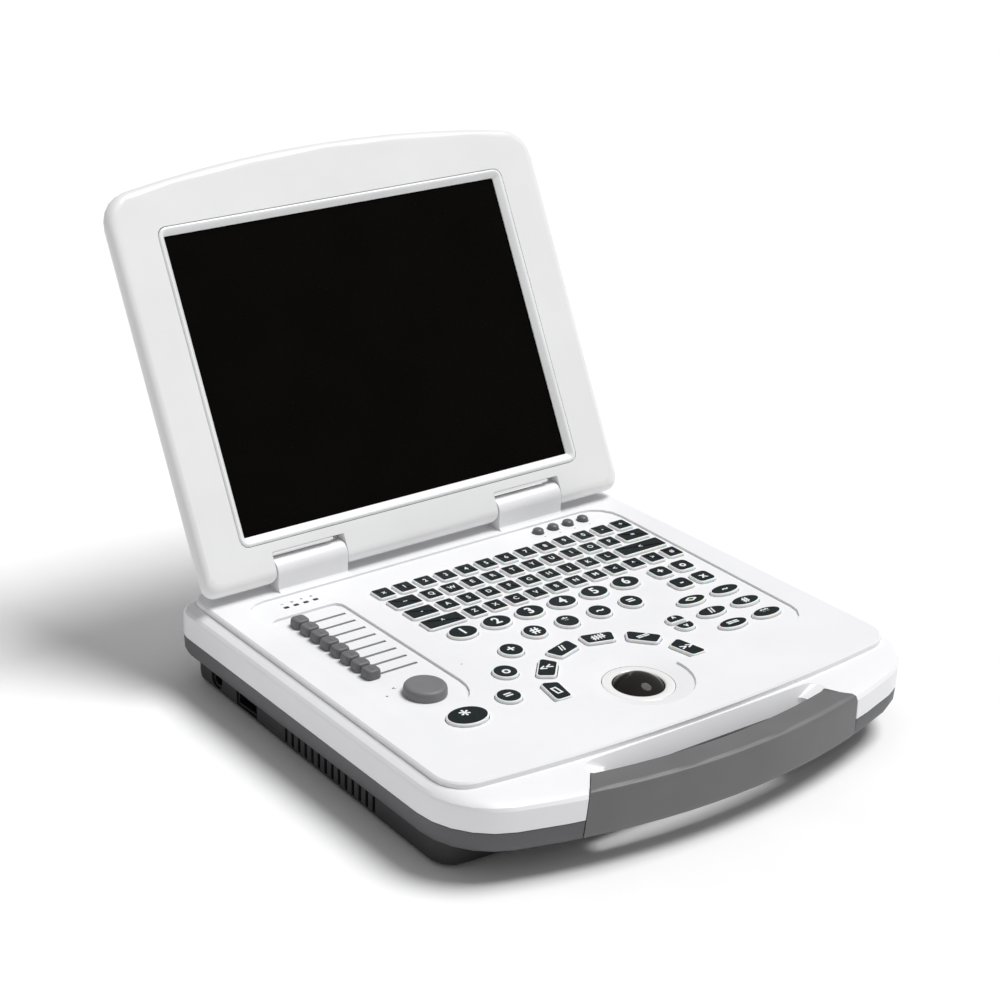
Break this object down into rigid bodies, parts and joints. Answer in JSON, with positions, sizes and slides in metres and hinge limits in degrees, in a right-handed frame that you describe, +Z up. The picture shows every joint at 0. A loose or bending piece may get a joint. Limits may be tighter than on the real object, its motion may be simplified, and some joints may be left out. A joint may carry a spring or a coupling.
{
  "type": "ultrasound scanner",
  "caption": "Portable laptop-style ultrasound scanner with a hinged screen lid, keyboard, trackball, gain sliders and a carrying handle at the front.",
  "frame": {"origin": "on the floor under the middle of the scanner's overall box, with the lid open at its rest angle", "axes": "+Z up, +Y towards the rear where the lid is hinged, +X to the operator's right; the operator sits on the -Y side"},
  "size_m": [0.2922, 0.3646, 0.244],
  "materials": {
    "ball_black": "polished phenolic, near black",
    "band_grey": "fine textured ABS, mid grey",
    "base_dark": "textured ABS, charcoal",
    "battery_wrap": "shrink-wrapped cells, dark blue grey",
    "bezel_white": "fine satin moulded ABS, white",
    "board_green": "circuit board, green solder resist",
    "cap_black": "satin black key cap",
    "cap_grey": "satin grey key cap",
    "cover_white": "fine satin moulded ABS, white",
    "cup_grey": "moulded dark grey",
    "data_socket_shell": "plated sheet steel shell",
    "encoder_metal": "plated housing",
    "fan_black": "black glass-filled plastic",
    "foot_rubber": "matt black rubber",
    "glass_black": "black cover glass, smooth and opaque while off",
    "handle_grey": "satin grey plastic",
    "hinge_steel_left": "plated steel",
    "hinge_steel_right": "plated steel",
    "inlet_black": "black plastic with metal pin",
    "key_black": "silicone key mat, black keys with clear skirts",
    "knob_grey": "soft grey knob",
    "lamp_clear": "clear light guide",
    "lid_white": "fine satin moulded ABS, white",
    "main_board_green": "circuit board, green solder resist",
    "panel_metal": "steel and aluminium display frame",
    "probe_socket_shell": "plated sheet steel shell",
    "ring_white": "glossy white",
    "rotor_black": "black plastic",
    "screen_ring_white": "glossy white bevel",
    "slider_board_green": "circuit board with metal tracks",
    "slider_grey": "matt grey plastic"
  },
  "bodies": {
    "body": {"base_tray": "base_dark", "battery_pack": "battery_wrap", "carry_handle": "handle_grey", "centre_mat": "key_black", "data_socket": "data_socket_shell", "fan_frame": "fan_black", "foot_front_left": "foot_rubber", "foot_front_right": "foot_rubber", "foot_rear_left": "foot_rubber", "foot_rear_right": "foot_rubber", "gain_encoder": "encoder_metal", "hinge_bracket_left": "hinge_steel_left", "hinge_bracket_right": "hinge_steel_right", "key_board": "board_green", "lamp_guide": "lamp_clear", "letter_mat": "key_black", "lower_cover": "band_grey", "main_board": "main_board_green", "power_inlet": "inlet_black", "probe_socket": "probe_socket_shell", "side_mat": "key_black", "slider_board": "slider_board_green", "top_cover": "cover_white", "trackball_cup": "cup_grey", "trackball_ring": "ring_white"},
    "lid": {"lid_bezel": "bezel_white", "lid_cover": "lid_white", "screen_ring": "screen_ring_white", "screen_glass": "glass_black", "lcd_panel": "panel_metal", "hinge_shaft_left": "hinge_steel_left", "hinge_shaft_right": "hinge_steel_right"},
    "slider_knob_1": {"slider_knob_1": "slider_grey"},
    "slider_knob_2": {"slider_knob_2": "slider_grey"},
    "slider_knob_3": {"slider_knob_3": "slider_grey"},
    "slider_knob_4": {"slider_knob_4": "slider_grey"},
    "slider_knob_5": {"slider_knob_5": "slider_grey"},
    "slider_knob_6": {"slider_knob_6": "slider_grey"},
    "slider_knob_7": {"slider_knob_7": "slider_grey"},
    "slider_knob_8": {"slider_knob_8": "slider_grey"},
    "gain_knob": {"gain_knob": "knob_grey"},
    "trackball": {"trackball": "ball_black"},
    "fan_rotor": {"fan_rotor": "rotor_black"},
    "arc_key_1": {"arc_key_1": "cap_black"},
    "arc_key_2": {"arc_key_2": "cap_black"},
    "arc_key_3": {"arc_key_3": "cap_black"},
    "arc_key_4": {"arc_key_4": "cap_black"},
    "arc_key_5": {"arc_key_5": "cap_black"},
    "arc_key_6": {"arc_key_6": "cap_black"},
    "freeze_key": {"freeze_key": "cap_black"},
    "menu_key_down": {"menu_key_down": "cap_black"},
    "menu_key_up": {"menu_key_up": "cap_black"},
    "mode_key_1": {"mode_key_1": "cap_black"},
    "mode_key_2": {"mode_key_2": "cap_black"},
    "mode_key_3": {"mode_key_3": "cap_black"},
    "rear_button_1": {"rear_button_1": "cap_grey"},
    "rear_button_2": {"rear_button_2": "cap_grey"},
    "rear_button_3": {"rear_button_3": "cap_grey"},
    "rear_button_4": {"rear_button_4": "cap_grey"}
  },
  "joints": [
    {"name": "lid_hinge", "type": "hinge", "parent": "body", "child": "lid", "pos_m": [0, 0.07407, 0.05599], "axis": [-1, 0, 0], "range_deg": [-118.87, 16.13]},
    {"name": "slider_slide_1", "type": "slide", "parent": "body", "child": "slider_knob_1", "axis": [1, 0, 0], "range_m": [0, 0.026]},
    {"name": "slider_slide_2", "type": "slide", "parent": "body", "child": "slider_knob_2", "axis": [1, 0, 0], "range_m": [0, 0.026]},
    {"name": "slider_slide_3", "type": "slide", "parent": "body", "child": "slider_knob_3", "axis": [1, 0, 0], "range_m": [0, 0.026]},
    {"name": "slider_slide_4", "type": "slide", "parent": "body", "child": "slider_knob_4", "axis": [1, 0, 0], "range_m": [0, 0.026]},
    {"name": "slider_slide_5", "type": "slide", "parent": "body", "child": "slider_knob_5", "axis": [1, 0, 0], "range_m": [0, 0.026]},
    {"name": "slider_slide_6", "type": "slide", "parent": "body", "child": "slider_knob_6", "axis": [1, 0, 0], "range_m": [0, 0.026]},
    {"name": "slider_slide_7", "type": "slide", "parent": "body", "child": "slider_knob_7", "axis": [1, 0, 0], "range_m": [0, 0.026]},
    {"name": "slider_slide_8", "type": "slide", "parent": "body", "child": "slider_knob_8", "axis": [1, 0, 0], "range_m": [0, 0.026]},
    {"name": "gain_turn", "type": "hinge", "parent": "body", "child": "gain_knob", "pos_m": [-0.0934, -0.05851, 0.0441], "axis": [0, 0, 1], "range_deg": [-140, 140]},
    {"name": "trackball_roll", "type": "hinge", "parent": "body", "child": "trackball", "pos_m": [0, -0.10691, 0.0314], "axis": [1, 0, 0], "continuous": true},
    {"name": "fan_spin", "type": "hinge", "parent": "body", "child": "fan_rotor", "pos_m": [-0.108, -0.08881, 0.0058], "axis": [0, 0, 1], "continuous": true},
    {"name": "arc_key_1_press", "type": "slide", "parent": "body", "child": "arc_key_1", "axis": [0, 0, 1], "range_m": [-0.001, 0], "stiffness_N_per_m": 600},
    {"name": "arc_key_2_press", "type": "slide", "parent": "body", "child": "arc_key_2", "axis": [0, 0, 1], "range_m": [-0.001, 0], "stiffness_N_per_m": 600},
    {"name": "arc_key_3_press", "type": "slide", "parent": "body", "child": "arc_key_3", "axis": [0, 0, 1], "range_m": [-0.001, 0], "stiffness_N_per_m": 600},
    {"name": "arc_key_4_press", "type": "slide", "parent": "body", "child": "arc_key_4", "axis": [0, 0, 1], "range_m": [-0.001, 0], "stiffness_N_per_m": 600},
    {"name": "arc_key_5_press", "type": "slide", "parent": "body", "child": "arc_key_5", "axis": [0, 0, 1], "range_m": [-0.001, 0], "stiffness_N_per_m": 600},
    {"name": "arc_key_6_press", "type": "slide", "parent": "body", "child": "arc_key_6", "axis": [0, 0, 1], "range_m": [-0.001, 0], "stiffness_N_per_m": 600},
    {"name": "freeze_key_press", "type": "slide", "parent": "body", "child": "freeze_key", "axis": [0, 0, 1], "range_m": [-0.001, 0], "stiffness_N_per_m": 600},
    {"name": "menu_key_down_press", "type": "slide", "parent": "body", "child": "menu_key_down", "axis": [0, 0, 1], "range_m": [-0.001, 0], "stiffness_N_per_m": 600},
    {"name": "menu_key_up_press", "type": "slide", "parent": "body", "child": "menu_key_up", "axis": [0, 0, 1], "range_m": [-0.001, 0], "stiffness_N_per_m": 600},
    {"name": "mode_key_1_press", "type": "slide", "parent": "body", "child": "mode_key_1", "axis": [0, 0, 1], "range_m": [-0.001, 0], "stiffness_N_per_m": 600},
    {"name": "mode_key_2_press", "type": "slide", "parent": "body", "child": "mode_key_2", "axis": [0, 0, 1], "range_m": [-0.001, 0], "stiffness_N_per_m": 600},
    {"name": "mode_key_3_press", "type": "slide", "parent": "body", "child": "mode_key_3", "axis": [0, 0, 1], "range_m": [-0.001, 0], "stiffness_N_per_m": 600},
    {"name": "rear_button_1_press", "type": "slide", "parent": "body", "child": "rear_button_1", "axis": [0, 0, 1], "range_m": [-0.001, 0], "stiffness_N_per_m": 600},
    {"name": "rear_button_2_press", "type": "slide", "parent": "body", "child": "rear_button_2", "axis": [0, 0, 1], "range_m": [-0.001, 0], "stiffness_N_per_m": 600},
    {"name": "rear_button_3_press", "type": "slide", "parent": "body", "child": "rear_button_3", "axis": [0, 0, 1], "range_m": [-0.001, 0], "stiffness_N_per_m": 600},
    {"name": "rear_button_4_press", "type": "slide", "parent": "body", "child": "rear_button_4", "axis": [0, 0, 1], "range_m": [-0.001, 0], "stiffness_N_per_m": 600}
  ]
}
